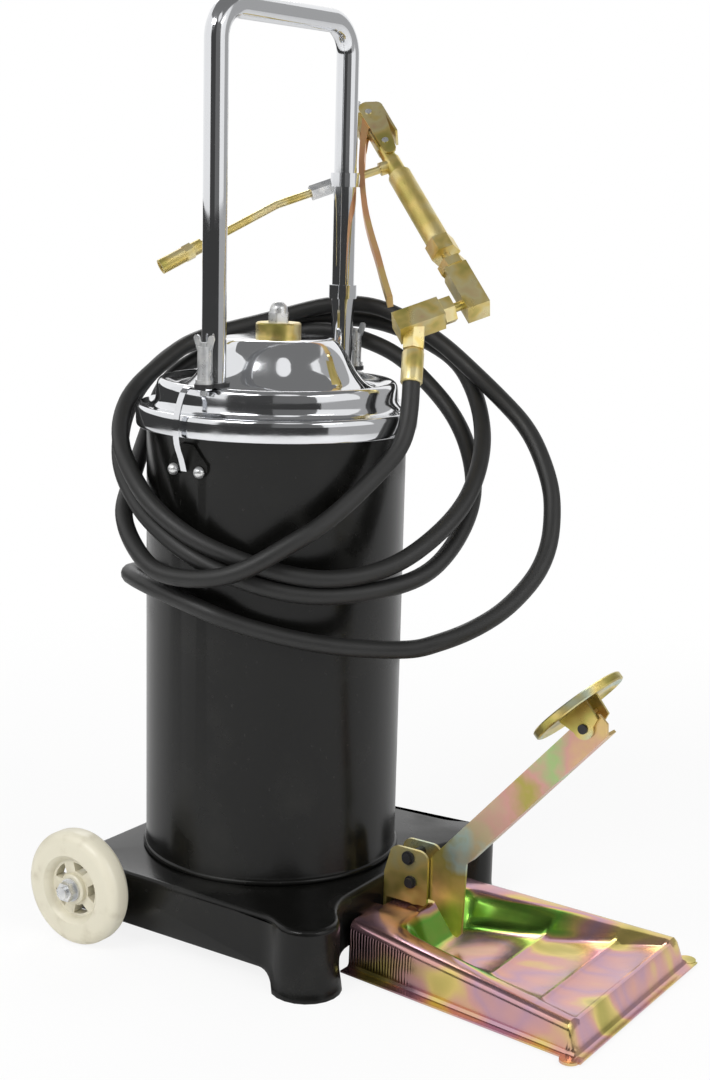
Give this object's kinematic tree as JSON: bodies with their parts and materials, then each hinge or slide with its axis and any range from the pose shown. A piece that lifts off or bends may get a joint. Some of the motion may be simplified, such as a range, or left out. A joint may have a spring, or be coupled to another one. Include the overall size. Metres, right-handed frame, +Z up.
{
  "type": "grease applicator",
  "caption": "Foot operated bucket grease pump on a wheeled base, with pedal lever, foot tray, pull handle, looped hose and grease gun.",
  "frame": {"origin": "centre of the overall box on the floor, cords apart", "axes": "+X from the drum towards the foot tray, +Y to the side of the gun, +Z up"},
  "size_m": [0.5092, 0.38, 0.79],
  "materials": {
    "black_paint": "gloss",
    "chrome": "polished",
    "cream_plastic": "satin",
    "rubber": "matte",
    "hose_rubber": "matte",
    "yellow_zinc_sheet": "satin",
    "yellow_zinc": "satin",
    "copper_zinc": "satin",
    "dark_steel": "satin",
    "bright_zinc": "satin"
  },
  "bodies": {
    "root": {"base": "black_paint", "drum": "black_paint", "drum_lugs": "black_paint", "lug_bolts": "bright_zinc", "lid": "chrome", "lid_gasket": "rubber", "collar_nut": "yellow_zinc", "acorn_nut": "bright_zinc", "follower_rod": "bright_zinc", "pump_body": "bright_zinc", "inlet_nut": "bright_zinc", "drum_bolts": "bright_zinc", "outlet_pipe": "bright_zinc", "outlet_fitting": "yellow_zinc", "handle": "chrome", "handle_feet": "dark_steel", "hold_down_posts": "bright_zinc", "wing_nuts": "bright_zinc", "hold_down_straps": "chrome", "axle": "bright_zinc", "axle_spacers": "bright_zinc", "axle_washers": "bright_zinc", "axle_nuts": "bright_zinc", "lever_bracket": "yellow_zinc_sheet", "bracket_screws": "bright_zinc", "stop_bolt": "dark_steel", "lever_pin": "bright_zinc", "foot_tray": "yellow_zinc_sheet", "tray_screws": "bright_zinc", "gun_body": "yellow_zinc", "gun_yoke": "yellow_zinc", "gun_pins": "bright_zinc", "gun_nipple": "bright_zinc", "gun_grip": "yellow_zinc", "grip_nut": "yellow_zinc", "swivel_nut": "yellow_zinc", "swivel_block_upper": "yellow_zinc", "swivel_stem": "yellow_zinc", "swivel_block_lower": "yellow_zinc", "hose_nut": "yellow_zinc", "hose_ferrule": "yellow_zinc", "spout_nut": "bright_zinc", "spout_pipe": "yellow_zinc", "coupler": "yellow_zinc", "coupler_jaws": "bright_zinc", "hose_hook": "dark_steel", "gun_clip": "dark_steel", "hose": "hose_rubber"},
    "wheel_near_body": {"wheel_near": "cream_plastic"},
    "wheel_far_body": {"wheel_far": "cream_plastic"},
    "lever": {"pedal_lever": "yellow_zinc_sheet", "pad_pin": "dark_steel"},
    "pad": {"pedal_pad": "yellow_zinc_sheet"},
    "plunger": {"pump_plunger": "bright_zinc"},
    "follower": {"follower_plate": "bright_zinc", "follower_seal": "rubber"},
    "trigger_lever": {"trigger": "copper_zinc"}
  },
  "joints": [
    {"name": "wheel_near_spin", "type": "hinge", "parent": "root", "child": "wheel_near_body", "pos_m": [-0.19975, -0.168, 0.05], "axis": [0, 1, 0], "continuous": true},
    {"name": "wheel_far_spin", "type": "hinge", "parent": "root", "child": "wheel_far_body", "pos_m": [-0.19975, 0.168, 0.05], "axis": [0, 1, 0], "continuous": true},
    {"name": "lever_hinge", "type": "hinge", "parent": "root", "child": "lever", "pos_m": [0.03675, 0, 0.062], "axis": [0, 1, 0], "range_deg": [0, 9.5], "stiffness_Nm_per_rad": 12, "springref_deg": -17.19},
    {"name": "plunger_slide", "type": "slide", "parent": "root", "child": "plunger", "axis": [-1, 0, 0], "range_m": [0, 0.0024]},
    {"name": "pad_swing", "type": "hinge", "parent": "lever", "child": "pad", "pos_m": [0.18996, 0, 0.22746], "axis": [0, 1, 0], "range_deg": [-5, 50]},
    {"name": "follower_slide", "type": "slide", "parent": "root", "child": "follower", "axis": [0, 0, 1], "range_m": [0, 0.3]},
    {"name": "trigger_squeeze", "type": "hinge", "parent": "root", "child": "trigger_lever", "pos_m": [-0.14058, 0.16037, 0.70199], "axis": [0.3317, -0.6409, 0.6923], "range_deg": [0, 9], "stiffness_Nm_per_rad": 1.5, "springref_deg": -11.46}
  ],
  "couplings": [
    {"joint": "plunger_slide", "follows": "lever_hinge", "m_per_rad": 0.014}
  ]
}
